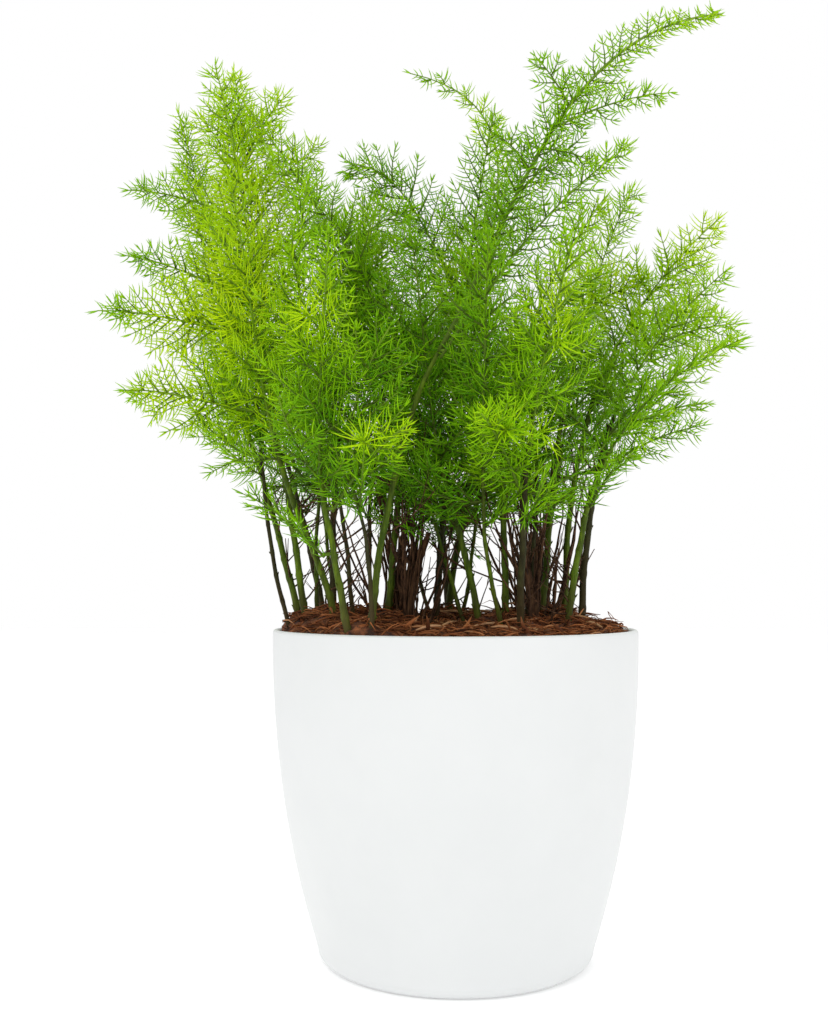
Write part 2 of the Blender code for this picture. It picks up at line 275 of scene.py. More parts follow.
def makeMottle():
    # blotches of a second colour over the first, and a mask of where they are
    group = bpy.data.node_groups.new("mottle", "ShaderNodeTree")
    for label, kind in (("Vector", "NodeSocketVector"), ("Scale", "NodeSocketFloat"),
                        ("First Colour", "NodeSocketColor"), ("Second Colour", "NodeSocketColor"),
                        ("Amount", "NodeSocketFloat")):
        group.interface.new_socket(label, in_out="INPUT", socket_type=kind)
    group.interface.new_socket("Colour", in_out="OUTPUT", socket_type="NodeSocketColor")
    group.interface.new_socket("Mask", in_out="OUTPUT", socket_type="NodeSocketFloat")
    given = group.nodes.new("NodeGroupInput").outputs
    out = group.nodes.new("NodeGroupOutput").inputs
    patch = wire(group, "TexNoise", {"Vector": given["Vector"], "Scale": given["Scale"],
                                     "Detail": blotch["detail"], "Roughness": blotch["roughness"]})
    spread = ranged(group, patch.outputs["Fac"], 0, 1, blotch["low"], blotch["high"])
    mask = wire(group, "Math", {0: spread, 1: given["Amount"]}, operation="MULTIPLY").outputs[0]
    colour = mixed(group, mask, given["First Colour"], given["Second Colour"])
    feed(group, out, {"Colour": colour, "Mask": mask})
    return group


mottle = makeMottle()


def mottled(tree, vector, scale, first, second, amount):
    return wire(tree, "Group", {"Vector": vector, "Scale": scale, "First Colour": first,
                                "Second Colour": second, "Amount": amount}, node_tree=mottle).outputs


def newMaterial(name):
    made = bpy.data.materials.new(name)
    made.use_nodes = True
    return made, made.node_tree, made.node_tree.nodes["Principled BSDF"].inputs


def placed(tree, stretch=(1, 1, 1)):  # where a point is on the plant, stretched
    where = wire(tree, "TexCoord").outputs["Object"]
    return wire(tree, "Mapping", {"Vector": where, "Scale": stretch}).outputs["Vector"]


def bumped(tree, height, strength, distance):
    values = {"Height": height, "Strength": strength, "Distance": distance}
    return wire(tree, "Bump", values).outputs["Normal"]


# needles, twigs and coir: the tints from dull to fresh, where the needles' dark tints also hold painted
# shade of the plant's depths, then the root's and tip's colours and their shares
strandEnds = {"root": 0.3, "tip": 0.5, "specular": 0.12}
strandLooks = {
    "needleGreen": {
        "tints": ((0.0, (0.022, 0.110, 0.001)), (0.28, (0.096, 0.310, 0.001)), (0.54, (0.280, 0.590, 0.001)),
                  (0.78, (0.480, 0.760, 0.002)), (1.0, (0.640, 0.870, 0.004))),
        "root": ((0.10, 0.24, 0.003), 0.3), "tip": ((0.36, 0.58, 0.01), 0.25), "roughness": 0.5},
    "twigGreen": {
        "tints": ((0.0, (0.045, 0.060, 0.010)), (0.5, (0.110, 0.210, 0.015)), (1.0, (0.190, 0.340, 0.012))),
        "root": ((0.070, 0.080, 0.015), 0.5), "tip": ((0.25, 0.42, 0.03), 0.6), "roughness": 0.55},
    "coirStrand": {
        "tints": ((0.0, (0.020, 0.007, 0.004)), (0.35, (0.120, 0.036, 0.013)), (0.70, (0.420, 0.145, 0.050)),
                  (1.0, (0.620, 0.360, 0.190))),
        "root": ((0.07, 0.02, 0.008), 0.4), "tip": ((0.36, 0.15, 0.06), 0.4), "roughness": 0.9}}


def paletteMaterial(name):  # U of the map picks the tint, and V runs from a strand's root to its tip
    made, tree, shader = newMaterial(name)
    look = strandLooks[name]
    where = wire(tree, "UVMap", uv_map="OFBake").outputs["UV"]
    apart = wire(tree, "SeparateXYZ", {0: where}).outputs
    ramp = wire(tree, "ValToRGB", {"Fac": apart["X"]})
    elements = ramp.color_ramp.elements
    while len(elements) < len(look["tints"]):
        elements.new(0.5)
    for element, (place, colour) in zip(elements, look["tints"]):
        element.position = place
        element.color = (*colour, 1)
    rootColour, rootShare = look["root"]
    tipColour, tipShare = look["tip"]
    nearRoot = ranged(tree, apart["Y"], rootShare, 0, 0, strandEnds["root"])
    nearTip = ranged(tree, apart["Y"], 0, tipShare, strandEnds["tip"], 1)
    colour = mixed(tree, nearRoot, ramp.outputs["Color"], (*rootColour, 1))
    colour = mixed(tree, nearTip, colour, (*tipColour, 1))
    feed(tree, shader, {"Base Color": colour, "Roughness": look["roughness"],
                        "Specular IOR Level": strandEnds["specular"]})
    return made


# living bark: a streaky skin, dark patches over it, and the foot stained by the coir
barkLook = {"streaks": 700, "streakStretch": (1, 1, 0.12), "streakAmount": 0.7, "patches": 160,
            "patchStretch": (1, 1, 0.5), "patch": (0.032, 0.024, 0.008, 1), "stainAmount": 0.8,
            "stain": (0.075, 0.045, 0.018, 1), "stainHeight": 20 * mm, "bump": (0.5, 0.3 * mm),
            "roughness": (0.5, 0.75), "specular": 0.15}
barkColours = {
    "stemBark": {"dark": (0.040, 0.078, 0.003, 1), "light": (0.165, 0.265, 0.008, 1), "patchAmount": 0.45},
    "oldBark": {"dark": (0.018, 0.020, 0.006, 1), "light": (0.075, 0.078, 0.018, 1), "patchAmount": 0.8}}


def makeStemBark(name):
    made, tree, shader = newMaterial(name)
    colours = barkColours[name]
    where = placed(tree)
    skin = mottled(tree, placed(tree, barkLook["streakStretch"]), barkLook["streaks"], colours["dark"],
                   colours["light"], barkLook["streakAmount"])
    patches = mottled(tree, placed(tree, barkLook["patchStretch"]), barkLook["patches"], skin["Colour"],
                      barkLook["patch"], colours["patchAmount"])
    height = wire(tree, "SeparateXYZ", {0: where}).outputs["Z"]
    low = ranged(tree, height, barkLook["stainAmount"], 0, soilTop, soilTop + barkLook["stainHeight"])
    feed(tree, shader, {"Base Color": mixed(tree, low, patches["Colour"], barkLook["stain"]),
                        "Normal": bumped(tree, skin["Mask"], *barkLook["bump"]),
                        "Roughness": ranged(tree, patches["Mask"], *barkLook["roughness"]),
                        "Specular IOR Level": barkLook["specular"]})
    return made


# dead wood and the coir bed: one mottle each, whose mask is the bump's height too
dryLooks = {
    "dryBark": {"stretch": (1, 1, 0.1), "scale": 900, "dark": (0.022, 0.010, 0.006, 1),
                "light": (0.17, 0.085, 0.042, 1), "amount": 0.85, "bump": (0.8, 0.6 * mm),
                "roughness": 0.88, "specular": 0.15},
    "coirBed": {"stretch": (1, 1, 1), "scale": 260, "dark": (0.035, 0.011, 0.005, 1),
                "light": (0.30, 0.10, 0.035, 1), "amount": 1.0, "bump": (1.0, 1.2 * mm),
                "roughness": 0.95, "specular": 0.5}}


def makeDryMaterial(name):
    made, tree, shader = newMaterial(name)
    look = dryLooks[name]
    skin = mottled(tree, placed(tree, look["stretch"]), look["scale"], look["dark"], look["light"],
                   look["amount"])
    feed(tree, shader, {"Base Color": skin["Colour"], "Normal": bumped(tree, skin["Mask"], *look["bump"]),
                        "Roughness": look["roughness"], "Specular IOR Level": look["specular"]})
    return made


potLook = {"scale": 14, "light": (0.765, 0.778, 0.778, 1), "dark": (0.72, 0.735, 0.738, 1), "amount": 0.5,
           "peel": {"Scale": 1400.0, "Detail": 2.0}, "bump": (0.12, 0.1 * mm), "roughness": (0.36, 0.5)}


def makePotPlastic():  # barely uneven, with a moulding's fine orange peel
    made, tree, shader = newMaterial("potPlastic")
    where = placed(tree)
    tone = mottled(tree, where, potLook["scale"], potLook["light"], potLook["dark"], potLook["amount"])
    peel = wire(tree, "TexNoise", {"Vector": where, **potLook["peel"]}).outputs["Fac"]
    feed(tree, shader, {"Base Color": tone["Colour"], "Normal": bumped(tree, peel, *potLook["bump"]),
                        "Roughness": ranged(tree, tone["Mask"], *potLook["roughness"])})
    return made


needleGreen, twigGreen, coirStrand = map(paletteMaterial, strandLooks)
stemBark, oldBark = map(makeStemBark, barkColours)
dryBark, coirBed = map(makeDryMaterial, dryLooks)
potPlastic = makePotPlastic()
print("materials made")


# the pot, turned afresh on the CAD pot's own outline
pot = {"sides": 192, "sideRows": 44, "rimRows": 10, "cornerRows": 8, "corner": 5 * mm, "wall": 2.2 * mm,
       "floor": 2.6 * mm, "levels": 60, "smoothing": 5}


def outlineOf(name, low, high):  # a smooth radius for each height, read off the CAD node
    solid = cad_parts[name]
    levels = np.linspace(low, high, pot["levels"])
    found = []
    for z in levels:
        where = solid.ray_cast(Vector((0.5, 0, z)), Vector((-1, 0, 0)))[1]  # from well outside it
        found.append(where.x)
    return np.polynomial.Polynomial.fit(levels, found, pot["smoothing"])


def turnPot(outline):
    sides = pot["sides"]
    turn = np.arange(sides) * math.tau / sides
    body = np.stack([np.outer(outline[:, 0], np.cos(turn)), np.outer(outline[:, 0], np.sin(turn)),
                     np.repeat(outline[:, 1:], sides, 1)], 2).reshape(-1, 3)
    body = np.concatenate([body, [(0, 0, outline[0, 1]), (0, 0, outline[-1, 1])]])
    parts = newParts()
    addPart(parts, body, closedFaces(len(outline), sides), body[:, :2])
    buildPiece("potShell", parts, [potPlastic], ("pot",), mapped=False)


def makePot():
    wall, corner = pot["wall"], pot["corner"]
    top = potTop - wall / 2
    radius = outlineOf("pot", corner + 0.1 * mm, top - 0.1 * mm)
    z = np.linspace(corner, top, pot["sideRows"])
    side = np.stack([radius(z), z], 1)
    turn = np.linspace(0, math.pi / 2, pot["cornerRows"], endpoint=False)
    foot = np.stack([side[0, 0] - corner * (1 - np.sin(turn)), corner * (1 - np.cos(turn))], 1)
    turn = np.linspace(0, math.pi, pot["rimRows"] + 2)[1:-1]
    rim = np.stack([side[-1, 0] - wall / 2 * (1 - np.cos(turn)), top + wall / 2 * np.sin(turn)], 1)
    inside = side[::-1] - (wall, 0)
    inside = inside[inside[:, 1] > pot["floor"] + corner]
    well = np.array([(inside[-1, 0] - corner, pot["floor"])])
    turnPot(np.concatenate([foot, side, rim, inside, well]))


makePot()
print("pot made")


# the CAD rods that the stems are drawn along
rodReading = {"ringGap": 3 * mm, "power": 3}


def readRod(name):  # from the middle and radius of each ring of points up it
    points = nodePoints(name)
    points = points[np.argsort(points[:, 2])]
    cuts = np.flatnonzero(np.diff(points[:, 2]) > rodReading["ringGap"]) + 1
    rings = np.split(points, cuts)
    middles = np.array([ring.mean(0) for ring in rings])
    radii = np.array([np.linalg.norm(ring - ring.mean(0), axis=1).max() for ring in rings])
    power = min(rodReading["power"], len(middles) - 1)
    line = powerLine(np.polyfit(steps(len(middles)), middles, power))
    length = np.linalg.norm(middles[-1] - middles[0])
    return {"line": line, "foot": radii[0], "top": radii[-1], "length": length}


stems = {node[5:]: readRod(node) for node in nodesNamed("stem_")}
feet = np.array([rod["line"](0.0) for rod in stems.values()])


# the coir: a lumpy bed in the pot, heaped up round the stems
coir = {"rings": 74, "sides": 220, "reach": 61.9 * mm, "depth": 9 * mm, "raised": 0.6 * mm, "skirt": 0.985,
        "lump": 1.9 * mm, "lumpScale": 160, "grain": 0.54 * mm, "grainScale": 620,
        "heap": 2.6 * mm, "heapReach": 8 * mm, "highest": 5.5 * mm,
        "edge": 0.93, "edgeWidth": 0.07, "edgeDrop": 1.2 * mm, "blend": 2 * mm}


soilPoints = nodePoints("soil")
soilPoints = soilPoints[soilPoints[:, 2] > soilTop - 0.5 * mm]  # its heaped top


def soilHeight(x, y):
    near = (soilPoints[:, 0] - x[..., None]) ** 2 + (soilPoints[:, 1] - y[..., None]) ** 2
    weight = 1 / (near + coir["blend"] ** 2) ** 2
    return (weight * soilPoints[:, 2]).sum(-1) / weight.sum(-1)


def coirHeight(x, y):
    height = soilHeight(x, y)
    reach = np.hypot(x, y) / coir["reach"]
    for i in range(x.size):
        place = Vector((x.flat[i], y.flat[i], 0))
        lump = noise.fractal(place * coir["lumpScale"], 0.9, 2.1, 4) * coir["lump"]
        grain = noise.ridged_multi_fractal(place * coir["grainScale"], 1.0, 2.0, 3, 1.0, 2.0) * coir["grain"]
        away = np.hypot(feet[:, 0] - place.x, feet[:, 1] - place.y)
        heap = (coir["heap"] * np.exp(-(away / coir["heapReach"]) ** 2)).sum()
        height.flat[i] += lump + grain + coir["raised"] + min(coir["highest"], heap)
    return height - coir["edgeDrop"] * np.clip((reach - coir["edge"]) / coir["edgeWidth"], 0, 1)


def makeSoil():
    parts = newParts()
    sides = coir["sides"]
    bottom = soilTop - coir["depth"]
    reach = coir["reach"] * np.linspace(1, 0, coir["rings"] + 1)[:-1]
    turn = np.arange(sides) * math.tau / sides
    x, y = np.outer(reach, np.cos(turn)), np.outer(reach, np.sin(turn))
    top = np.stack([x, y, coirHeight(x, y)], 2)
    skirt = np.stack([x[0] * coir["skirt"], y[0] * coir["skirt"], np.full(sides, bottom)], 1)[None]
    rows = np.concatenate([skirt, top])
    middle = coirHeight(np.zeros(1), np.zeros(1))[0]
    body = np.concatenate([rows.reshape(-1, 3), [(0, 0, bottom), (0, 0, middle)]])
    addPart(parts, body, closedFaces(len(rows), sides), body[:, :2])
    buildPiece("coirBed", parts, [coirBed], ("soil",), mapped=False)


# loose coir on the bed: fine strands, pale straws, and chips that stand up
strands = {"count": 2800, "inset": 1.5 * mm, "length": (3 * mm, 13 * mm), "rise": (0.05, 0.22), "roll": 0.5,
           "curl": 0.14, "arch": 0.16, "lift": 0.1 * mm, "radius": (0.12 * mm, 0.34 * mm),
           "girth": (0.5, 1, 1, 0.8, 0.35), "tint": (0.45, 0.2), "tintEnds": (0.03, 0.86),
           "wallGap": 0.4 * mm}
straws = {"count": 26, "inset": 9 * mm, "length": (9 * mm, 20 * mm), "rise": (-0.05, 0.25), "arch": 1.2 * mm,
          "lift": 0.8 * mm, "radius": 1 * mm, "girth": (0.3, 0.42, 0.45, 0.42, 0.36, 0.2), "tint": 0.97,
          "wallGap": 0.6 * mm}
chips = {"count": 60, "inset": 4 * mm, "length": (3 * mm, 8 * mm), "lean": 0.6, "curl": 0.4 * mm,
         "sunk": 1 * mm, "radius": (0.5 * mm, 1.3 * mm), "girth": (1.0, 0.9, 0.5, 0.1), "tint": (0.2, 0.75)}


def scatter(loose):  # places on the bed, as x, y and z
    away = np.sqrt(random.random(loose["count"])) * (coir["reach"] - loose["inset"])
    turn = random.random(loose["count"]) * math.tau
    x, y = away * np.cos(turn), away * np.sin(turn)
    return np.stack([x, y, coirHeight(x, y)], 1)


def insidePot(points, wallGap):  # drawn in where they would cross the pot's wall
    away = np.hypot(points[:, 0], points[:, 1])
    points[:, :2] *= np.minimum(1, (coir["reach"] - wallGap) / away)[:, None]
    return points


def lying(loose, middle, ahead, bow):  # a loose piece's points, with its middle at its place
    s = steps(len(loose["girth"]))
    return insidePot(bowLine(middle - ahead / 2, middle + ahead / 2, bow)(s), loose["wallGap"])


def addStrands(parts):
    for place in scatter(strands):
        length = between(strands["length"])
        turn = random.random() * math.tau
        ahead = np.array((math.cos(turn), math.sin(turn), about(strands["rise"])))
        side = np.array((-math.sin(turn), math.cos(turn), random.normal(0, strands["roll"])))
        bow = side * length * random.normal(0, strands["curl"])
        bow = bow + up * length * random.uniform(0.0, strands["arch"])
        points = lying(strands, place + up * strands["lift"], ahead * length, bow)
        girth = np.array(strands["girth"]) * between(strands["radius"])
        addTube(parts, points, girth, 4, np.clip(about(strands["tint"]), *strands["tintEnds"]))


def addStraws(parts):
    for place in scatter(straws):
        length = between(straws["length"])
        ahead = levelOut() + up * between(straws["rise"])
        points = lying(straws, place + up * straws["lift"], ahead * length, up * straws["arch"])
        addTube(parts, points, np.array(straws["girth"]) * straws["radius"], 5, straws["tint"])


def addChips(parts):
    for place in scatter(chips):
        lean = unit(np.array((random.normal(0, chips["lean"]), random.normal(0, chips["lean"]), 1.0)))
        start = place - up * chips["sunk"]
        end = start + lean * between(chips["length"])
        line = bowLine(start, end, random.normal(0, chips["curl"], 3))
        girth = np.array(chips["girth"]) * between(chips["radius"])
        addTube(parts, line(steps(len(girth))), girth, 5, between(chips["tint"]))


def makeStrands():
    parts = newParts()
    addStrands(parts)
    addStraws(parts)
    addChips(parts)
    buildPiece("coirStrands", parts, [coirStrand])


makeSoil()
makeStrands()
print("soil made")


# the stems, drawn again along the CAD stems' own lines, with a swelling and a small scale at each node
stem = {"sides": 10, "rowsPerMetre": 900, "nodeSpacing": 9 * mm, "nodeStray": 1.2 * mm, "nodeSwell": 0.22,
        "nodeWidth": 0.9 * mm, "wander": 0.25 * mm, "slowWaves": (9, 8), "quickWaves": (23, 21),
        "scaleLength": 1.6 * mm, "scaleRadius": 0.35 * mm, "slimmer": {"plume": 0.8},
        "old": ("left_inner", "middle_back", "middle_top", "right_back", "right_front", "left_back",
                "far_right")}


def wandering(s, phase):  # how far a stem strays off its line
    slow, quick = stem["slowWaves"], stem["quickWaves"]
    x = np.sin(s * slow[0] + phase[0]) + 0.5 * np.sin(s * quick[0] + phase[1])
    y = np.sin(s * slow[1] + phase[2]) + 0.5 * np.sin(s * quick[1] + phase[3])
    return np.stack([x, y, np.zeros(len(s))], 1) * stem["wander"] * np.minimum(1, s * 5)[:, None]


def addStem(parts, line, foot, top, length, knobs=1.0):
    rows = max(8, round(length * stem["rowsPerMetre"]))
    s = steps(rows)
    phase = random.random(6) * math.tau
    points = line(s) + wandering(s, phase)
    radii = foot + (top - foot) * s
    places = np.arange(random.uniform(0.4, 1) * stem["nodeSpacing"], length, stem["nodeSpacing"])
    places = places + random.normal(0, stem["nodeStray"], len(places))
    for place in places:
        swell = np.exp(-((s * length - place) / stem["nodeWidth"]) ** 2)
        radii = radii * (1 + knobs * stem["nodeSwell"] * swell)
    addTube(parts, points, radii, stem["sides"])
    if len(places):
        share = np.clip(places / length, 0, 1)
        heading = tangents(line, share)
        turn = np.arange(len(places)) * leafTurn + phase[4]
        out = unit(square(np.stack([np.cos(turn), np.sin(turn), np.zeros(len(turn))], 1), heading))
        radius = foot + (top - foot) * share
        index = np.clip((share * (rows - 1)).round().astype(int), 0, rows - 1)
        roots = points[index] + out * radius[:, None] * 0.85
        lengths = stem["scaleLength"] * random.uniform(0.6, 1.3, len(places))
        addNeedles(parts, roots, heading * 0.55 + out * 0.5, heading * 0.3, lengths, stem["scaleRadius"],
                   np.full(len(places), 0.5))


for name, rod in stems.items():
    parts = newParts()
    slim = stem["slimmer"].get(name, 1.0)
    addStem(parts, rod["line"], rod["foot"] * slim, rod["top"] * slim, rod["length"])
    bark = oldBark if name in stem["old"] else stemBark
    buildPiece("bark_" + name, parts, [bark], ("stem_" + name,), mapped=False)
print("stems made:", len(stems))


# dead canes and their broken twigs, round the CAD stubs; every fifth twig is tall
deadCane = {"rows": 22, "sides": 9, "waves": 31, "waveDepth": 0.14, "rough": 0.07, "twigs": 34,
            "spread": 9 * mm, "height": (18 * mm, 62 * mm), "tallEvery": 5, "tall": 1.5,
            "splay": (0.05, 0.45), "bow": (-0.08, 0.12), "kinks": 0.25 * mm, "twigRows": 8,
            "radius": (0.35 * mm, 0.8 * mm)}


def makeStub(name):
    rod = readRod(name)
    parts = newParts()
    rows, twigRows = deadCane["rows"], deadCane["twigRows"]
    s = steps(rows)
    ragged = 1 + deadCane["waveDepth"] * np.sin(s * deadCane["waves"] + random.random() * 6)
    ragged = ragged + random.normal(0, deadCane["rough"], rows)
    radii = (rod["foot"] + (rod["top"] - rod["foot"]) * s) * ragged
    addTube(parts, rod["line"](s), radii, deadCane["sides"])
    for i in range(deadCane["twigs"]):
        share = random.uniform(0, 0.75)
        start = rod["line"](share)
        out = levelOut()
        if i % 2:  # from the coir beside the cane
            start = rod["line"](0.08) + out * deadCane["spread"] * random.random()
        reach = between(deadCane["height"]) * (1 - 0.5 * share)
        if i % deadCane["tallEvery"] == 0:
            reach *= deadCane["tall"]
        end = start + up * reach + out * reach * between(deadCane["splay"])
        bow = out * reach * between(deadCane["bow"])
        points = bowLine(start, end, bow)(steps(twigRows))
        points += random.normal(0, deadCane["kinks"], points.shape)
        girth = np.linspace(1, 0.3, twigRows) * between(deadCane["radius"])
        addTube(parts, points, girth, 5)
    buildPiece("deadCane" + name[4:], parts, [dryBark], (name,), mapped=False)


for node in nodesNamed("stub_"):
    makeStub(node)
print("stubs made")


# dry side twigs, low down on the living stems; the longer ones fork
dryTwigs = {"perStem": 9, "share": (0.12, 0.75), "reach": (9 * mm, 30 * mm), "rise": (0.3, 1.8),
            "sag": (-0.15, 0.05), "curl": 0.06, "radius": 0.3 * mm, "girth": (0.7, 1.3), "forkFrom": 16 * mm,
            "forkShare": (0.3, 0.7), "forkReach": 0.5, "forkTurn": 0.5}


def makeDryTwigs():
    parts = newParts()
    for rod in stems.values():
        for _ in range(dryTwigs["perStem"]):
            start = rod["line"](between(dryTwigs["share"]))
            out = levelOut()
            out = unit(out - unit(start * level))  # mostly inwards
            reach = between(dryTwigs["reach"])
            end = start + unit(out + up * between(dryTwigs["rise"])) * reach
            sag = up * reach * between(dryTwigs["sag"])
            bow = sag + out * reach * random.normal(0, dryTwigs["curl"])
            line = bowLine(start, end, bow)
            girth = dryTwigs["radius"] * between(dryTwigs["girth"])
            addTube(parts, line(steps(6)), girth * np.linspace(1, 0.4, 6), 4)
            if reach > dryTwigs["forkFrom"]:
                place = between(dryTwigs["forkShare"])
                ahead = unit(tangents(line, place) + random.normal(0, dryTwigs["forkTurn"], 3))
                fork = bowLine(line(place), line(place) + ahead * reach * dryTwigs["forkReach"], bow * 0.4)
                addTube(parts, fork(steps(5)), girth * np.linspace(0.7, 0.3, 5), 4)
    buildPiece("dryTwigs", parts, [dryBark], mapped=False)


makeDryTwigs()
print("dry twigs made")


# shoots: a thin twig with needles all along it, which point ahead in a tuft at its tip
needles = {"length": 8.4 * mm, "spacing": 1.9 * mm, "perNode": 2, "radius": 0.25 * mm, "lean": (70, 6),
           "spread": 0.42, "forward": 0.52, "rise": 0.10, "stray": 0.07, "shorter": 0.55,
           "vary": (0.8, 1.12), "tintStray": 0.045, "tintAlong": 0.10,
           "tuft": 3, "tuftSpread": 0.28, "tuftLength": (0.35, 0.6), "tuftTint": 0.04}
shoots = {"bow": 0.05, "radius": 0.26 * mm, "radiusGain": 7 * mm, "rowSpacing": 3.5 * mm, "twigTint": -0.1,
          "forksFrom": 15 * mm, "spacing": 6.5 * mm, "angle": (48, 6), "outOfPlane": 0.5, "reach": 0.5,
          "narrowing": 0.7, "vary": (0.8, 1.1), "shortest": 5 * mm, "finer": 0.95}


def newGrowth():  # twigs, and the needles to add to them at the end
    return {"parts": newParts(), "needles": []}


def growNeedles(growth, line, length, side, tint, size=1.0):
    count = max(4, round(length / needles["spacing"]))
    s = (np.arange(count) + random.uniform(0, 0.7, count)) / count
    s = np.repeat(s, needles["perNode"])
    total = len(s)
    heading = tangents(line, s)
    across = unit(square(side, heading))
    normal = np.cross(heading, across)
    turn = np.arange(total) % 2 * math.pi + random.normal(0, needles["spread"], total)
    out = across * np.cos(turn)[:, None] + normal * np.sin(turn)[:, None]
    lean = np.radians(about(needles["lean"], total))[:, None]
    ahead = leaning(heading, out, lean)
    stray = random.normal(0, needles["stray"], (total, 3))
    bend = heading * needles["forward"] + up * needles["rise"] + stray
    profile = np.minimum(1, 0.7 + 1.6 * s) * (1 - needles["shorter"] * s**2)
    lengths = needles["length"] * size * profile * between(needles["vary"], total)
    tints = tint + needles["tintAlong"] * (s - 0.5) + random.normal(0, needles["tintStray"], total)
    growth["needles"].append((line(s), ahead, bend, lengths, tints))
    tuft = needles["tuft"]
    heading = np.repeat(tangents(line, np.ones(1)), tuft, 0)
    ahead = unit(heading + random.normal(0, needles["tuftSpread"], (tuft, 3)))
    lengths = needles["length"] * size * between(needles["tuftLength"], tuft)
    tints = tint + random.normal(0, needles["tuftTint"], tuft)
    roots = np.repeat(line(np.ones(1)), tuft, 0)
    growth["needles"].append((roots, ahead, heading * 0.1 + up * 0.05, lengths, tints))


def growTwig(growth, line, thick, tint, sides, rows, thin=0.6):
    s = steps(rows)
    tint = min(0.96, max(0.03, tint + placeTint(line(np.array([0.5])))[0]))
    addTube(growth["parts"], line(s), thick * (1 - thin * s), sides, tint, 1)


def growShoot(growth, start, heading, length, side, tint, depth, size=1.0):
    # a shoot sags a little half-way, and bears smaller shoots if it is long enough
    end = start + heading * length
    bow = random.normal(0, shoots["bow"], 3) * length - up * shoots["bow"] * length
    line = bowLine(start, end, bow)
    rows = max(4, round(length / shoots["rowSpacing"]))
    thick = shoots["radius"] + shoots["radiusGain"] * length
    growTwig(growth, line, thick, tint + shoots["twigTint"], 4, rows)
    growNeedles(growth, line, length, side, tint, size)
    if depth < 1 or length < shoots["forksFrom"]:
        return
    normal = unit(np.cross(heading, side))
    count = int(length / shoots["spacing"])
    for i in range(count):
        share = (i + 0.6) / (count + 0.6)
        hand = 1 if i % 2 else -1
        angle = math.radians(about(shoots["angle"]))
        out = unit(side * hand + normal * random.normal(0, shoots["outOfPlane"]))
        ahead = unit(leaning(tangents(line, share), out, angle))
        narrowing = (1 - share) ** shoots["narrowing"]
        reach = length * shoots["reach"] * narrowing * between(shoots["vary"])
        if reach > shoots["shortest"]:
            growShoot(growth, line(share), ahead, reach, side, tint, depth - 1, size * shoots["finer"])


def finishGrowth(growth, name, replaced=()):
    roots, ahead, bend, lengths, tints = map(np.concatenate, zip(*growth["needles"]))
    tints = np.clip(tints + placeTint(roots), mapMargin, 1 - mapMargin)
    addNeedles(growth["parts"], roots, ahead, bend, lengths, needles["radius"], tints)
    buildPiece(name, growth["parts"], [needleGreen, twigGreen], replaced)


# fronds: a main rib with branchlets on both sides, which shorten towards the tip
branchlets = {"spacing": 4.0 * mm, "gain": 2.0, "rootAngle": 60, "tipAngle": 42, "angleStray": 5,
              "outOfPlane": 0.45, "rise": 0.08, "vary": (0.82, 1.12), "shortest": 3 * mm, "finerAtTip": 0.3,
              "ribNeedles": 0.9}

# how a frond may differ: how fresh it is (new needles are lime) and, where it is lowered, its painted shade
# at the back of the plant, how far in mm its rib bows off its blade, how full and wide it is, how soon it
# narrows, how fine its needles are, how far along its blade it runs, how much of its rib is bare, and how
# thick the rib is
plainFrond = {"freshAndDepthShade": 0.0, "bow": (0, 0, 0), "full": 1.0, "wide": 1.0, "taper": 0.58, "fine": 1.0,
              "reach": 1.04, "bare": 0.04, "rib": 0.55 * mm}
plainSpray = dict(plainFrond, fine=0.9, reach=1.0)
# painted shade: the back fronds' negative values darken them and their side fronds, as the plant's depths
# would shade them
fronds = {
    "frond_left_tall": {"freshAndDepthShade": 0.12, "full": 1.6, "wide": 1.15, "reach": 1.03},
    "frond_left_outer": {"freshAndDepthShade": 0.06, "full": 1.6},
    "frond_left_leaning": {"freshAndDepthShade": 0.02, "full": 1.3},
    "frond_left_front": {"freshAndDepthShade": 0.08},
    "frond_left_back": {"freshAndDepthShade": -0.14},
    "frond_middle_arching": {"bow": (18, 0, 8), "wide": 0.58, "taper": 0.5, "fine": 0.75},
    "frond_middle_top": {"full": 1.3},
    "frond_middle_back": {"freshAndDepthShade": -0.16},
    "frond_middle_leaning": {"freshAndDepthShade": -0.06},
    "frond_plume": {"freshAndDepthShade": -0.06, "bow": (-8, -12, 5), "full": 1.6, "wide": 0.58, "taper": 0.42,
                    "fine": 0.7, "bare": 0.2, "rib": 0.9 * mm},
    "frond_right_inner": {"freshAndDepthShade": 0.12, "full": 1.2},
    "frond_right_outer": {"freshAndDepthShade": 0.06, "full": 1.3, "wide": 1.15},
    "frond_right_top": {"full": 1.3},
    "frond_right_back": {"freshAndDepthShade": -0.14},
    "frond_far_right": {"reach": 0.97},
    "spray_left_1": {"full": 1.5, "wide": 1.2, "taper": 0.8, "reach": 0.94},
    "spray_left_2": {"full": 1.5, "wide": 1.3, "taper": 0.8, "reach": 0.90},
    "spray_left_3": {"full": 1.7, "wide": 1.5, "taper": 0.85, "reach": 0.84},
    "spray_left_4": {"full": 1.7, "wide": 1.8, "taper": 0.85, "reach": 0.88},
    "spray_middle": {"freshAndDepthShade": -0.06, "bow": (0, 0, 13), "full": 1.6, "wide": 1.6},
    "spray_plume": {"fine": 0.85, "bare": 0.3},
    "spray_right_1": {"wide": 0.8},
    "spray_low_left": {"wide": 1.2},
    "spray_low_right": {"wide": 0.7},
    "spray_back_left": {"freshAndDepthShade": -0.12},
    "spray_back_right": {"freshAndDepthShade": -0.12},
}


def lookOf(node):
    plain = plainFrond if node.startswith("frond_") else plainSpray
    return {**plain, **fronds.get(node, {})}


